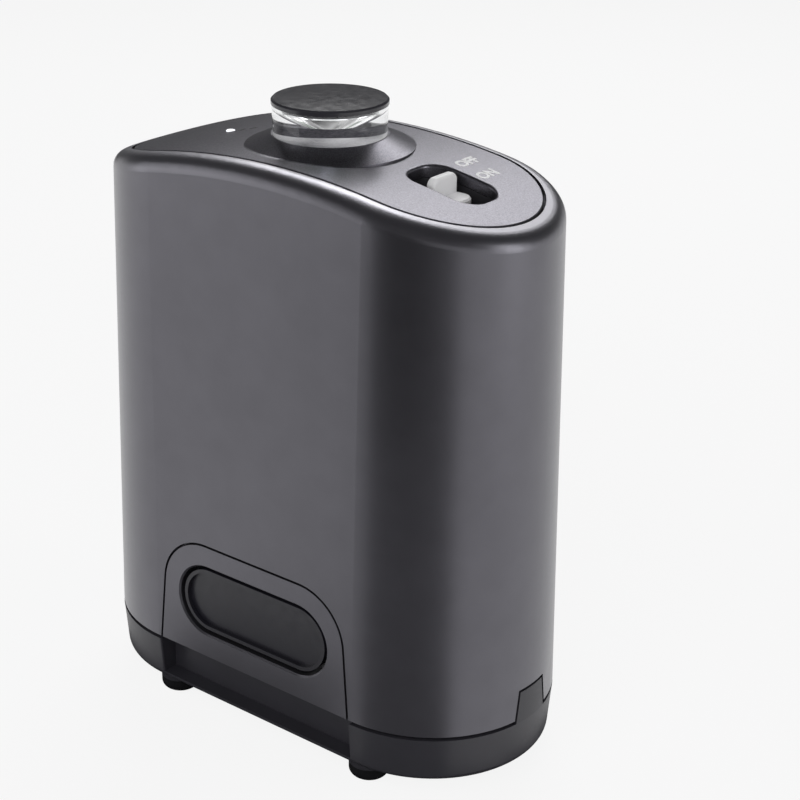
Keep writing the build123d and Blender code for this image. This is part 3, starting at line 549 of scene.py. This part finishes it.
camera_place = Vector((0.1873, -0.2281, 0.18605))
camera_target = Vector((0, 0, 0.05955))
camera_data = bpy.data.cameras.new("camera")
camera_data.sensor_width = 36
camera_data.lens = 81.7
camera_data.shift_x = 0.0874
camera_data.shift_y = -0.0017
camera = placed("camera", camera_data)
camera.location = camera_place
camera.rotation_euler = (camera_target - camera_place).to_track_quat("-Z", "Y").to_euler()
bpy.context.scene.camera = camera


# Studio floor

floor_size = 6.0
floor_white = 0.88      # share of the floor's look that doesn't depend on the lamps
floor_shape = bmesh.new()
bmesh.ops.create_grid(floor_shape, x_segments=1, y_segments=1, size=floor_size / 2)
floor_mesh = mesh_of(floor_shape, "floor")
floor = placed("floor", floor_mesh)


def background_rays(tree):
    """1 for the rays that see the background as it looks, and 0 for those that light."""
    path = tree.nodes.new("ShaderNodeLightPath")
    seen = calculate(tree, "MAXIMUM", path.outputs["Is Camera Ray"], path.outputs["Is Glossy Ray"])
    return calculate(tree, "MAXIMUM", seen, path.outputs["Is Transmission Ray"])


floor_material = bpy.data.materials.new("pale_floor")
floor_material.use_nodes = True
floor_tree = floor_material.node_tree
floor_tree.nodes.clear()
floor_output = floor_tree.nodes.new("ShaderNodeOutputMaterial")
floor_diffuse = floor_tree.nodes.new("ShaderNodeBsdfDiffuse")
floor_diffuse.inputs["Color"].default_value = (0.7, 0.7, 0.71, 1)
floor_glow = floor_tree.nodes.new("ShaderNodeEmission")
floor_glow.inputs["Color"].default_value = (1, 1, 1, 1)
floor_mix = floor_tree.nodes.new("ShaderNodeMixShader")
floor_share = calculate(floor_tree, "MULTIPLY", background_rays(floor_tree), floor_white)
floor_tree.links.new(floor_share, floor_mix.inputs["Fac"])
floor_tree.links.new(floor_diffuse.outputs[0], floor_mix.inputs[1])
floor_tree.links.new(floor_glow.outputs[0], floor_mix.inputs[2])
floor_tree.links.new(floor_mix.outputs[0], floor_output.inputs["Surface"])
floor_mesh.materials.append(floor_material)


# Cards that are seen only in reflections: painted reflections of darker surroundings, and of the
# floor's shade near and under the object

card_black = moulded("card_black", (0.01, 0.01, 0.01), 0.9)
card_grey = moulded("card_grey", (0.15, 0.15, 0.155), 0.9)
card_pale = moulded("card_pale", (0.35, 0.35, 0.36), 0.9)
card_steps = 24
card_lift = 0.3 * mm
camera_side = radians(39.4)
end_place = 22.75 * mm          # middle of the object's round ends
end_radius = 22.25 * mm
shade_margin = 5 * mm
half_shade = end_place + end_radius + shade_margin
front_reach = 0.16
near_reach = 0.04
far_distance = 0.9
ahead_height = 0.2
back_distance = 0.6
back_height = 0.4


def steps(start, end):
    """Even steps between two values."""
    return [start + (end - start) * step / card_steps for step in range(card_steps + 1)]


def floor_line(facing, start, end):
    """The floor that a wall facing some way shows to the camera, between two distances."""
    side = radians(facing)
    away = 2 * side - camera_side
    foot = Vector((end_place + end_radius * sin(side), -end_radius * cos(side), card_lift))
    outwards = Vector((sin(away), -cos(away), 0))
    return foot + start * outwards, foot + end * outwards


def near_line(x):
    """The strip of floor that the foot of the front shows to the camera."""
    foot = Vector((x, -end_radius, card_lift))
    return foot, foot + near_reach * Vector((-sin(camera_side), -cos(camera_side), 0))


def under_line(x):
    """A line across the shade under the object."""
    half = sqrt((end_radius + shade_margin) ** 2 - max(0, abs(x) - end_place) ** 2)
    return Vector((x, -half, card_lift)), Vector((x, half, card_lift))


def wall_line(azimuth, distance, height):
    """An upright line some way from the object."""
    side = radians(azimuth)
    foot = Vector((distance * sin(side), -distance * cos(side), card_lift))
    return foot, foot + Vector((0, 0, height))


def reflected(name, finish, pairs):
    """A sheet through pairs of points, seen only in reflections."""
    shape = bmesh.new()
    rows = [[shape.verts.new(end) for end in pair] for pair in pairs]
    for row, after in zip(rows, rows[1:]):
        shape.faces.new((row[0], row[1], after[1], after[0]))
    mesh = mesh_of(shape, name)
    mesh.materials.append(finish)
    card = placed(name, mesh)
    card.visible_camera = False
    card.visible_diffuse = False
    card.visible_transmission = False
    card.visible_shadow = False


front = steps(5, 47)
ahead = steps(-28, 30)
behind = steps(-175, -108)
# Painted dark reflection: a pale grey card darkens the floor that the walls mirror in front of the
# object.
reflected("card_front", card_pale, [floor_line(side, 0.0, front_reach) for side in front])
reflected("card_far", card_black, [floor_line(side, front_reach, far_distance) for side in front])
reflected("card_ahead", card_black, [wall_line(side, far_distance, ahead_height) for side in ahead])
# Painted shade of the floor at the foot of the front, seen only in its reflection.
reflected("card_near", card_pale, [near_line(x) for x in steps(-end_place, end_place)])
# Painted contact shadow: a black card under the object, seen in the base's reflections.
reflected("card_under", card_black, [under_line(x) for x in steps(-half_shade, half_shade)])
reflected("card_back", card_grey, [wall_line(side, back_distance, back_height) for side in behind])


# The world is white at the horizon and falls off to a dim studio overhead

horizon_white = (0.9,) * 3
overhead = (0.07,) * 3
white_up_to, dim_from = 0.04, 0.2
world = bpy.data.worlds.new("studio")
bpy.context.scene.world = world
world.use_nodes = True
world_tree = world.node_tree
world_back = world_tree.nodes["Background"]
world_place = world_tree.nodes.new("ShaderNodeTexCoord")
world_parts = world_tree.nodes.new("ShaderNodeSeparateXYZ")
world_tree.links.new(world_place.outputs["Generated"], world_parts.inputs["Vector"])
world_stops = [(0.0, horizon_white), (white_up_to, horizon_white), (dim_from, overhead)]
world_colour = ramp(world_tree, world_parts.outputs["Z"], world_stops)
world_tree.links.new(world_colour, world_back.inputs["Color"])


# Soft lamps, aimed at the object's middle

lamp_distance = 0.7
lamp_aim = Vector((0, 0, (cad_box[0].z + cad_box[1].z) / 2))


def softbox(name, azimuth, elevation, width, height, level, mirrored=True):
    """A lamp that is mirrored in the object or not. A white card facing it shows its level."""
    data = bpy.data.lights.new(name, "AREA")
    data.shape = "RECTANGLE"
    data.size = width
    data.size_y = height
    data.energy = level * pi**2 * lamp_distance**2
    across = radians(azimuth)
    up = radians(elevation)
    direction = Vector((sin(across) * cos(up), -cos(across) * cos(up), sin(up)))
    lamp = placed(name, data)
    lamp.location = lamp_aim + lamp_distance * direction
    lamp.rotation_euler = (-direction).to_track_quat("-Z", "Y").to_euler()
    lamp.visible_glossy = mirrored
    return lamp


softbox("lamp_left", -50, 12, 0.4, 0.4, 0.16)
softbox("lamp_right", 105, 6, 0.25, 0.6, 0.35)
softbox("lamp_back", -152, 41, 0.5, 0.28, 0.42)
softbox("lamp_fill", 20, 35, 0.6, 0.6, 0.5, mirrored=False)

# The rim's bright line comes from a lamp for the shell alone
shell_only = bpy.data.collections.new("shell_only")
shell_only.objects.link(nodes["body_shell"])
rim_lamp = softbox("lamp_rim", -136, 50, 0.36, 0.26, 0.42)
rim_lamp.light_linking.receiver_collection = shell_only

bpy.context.scene.view_settings.view_transform = "Standard"
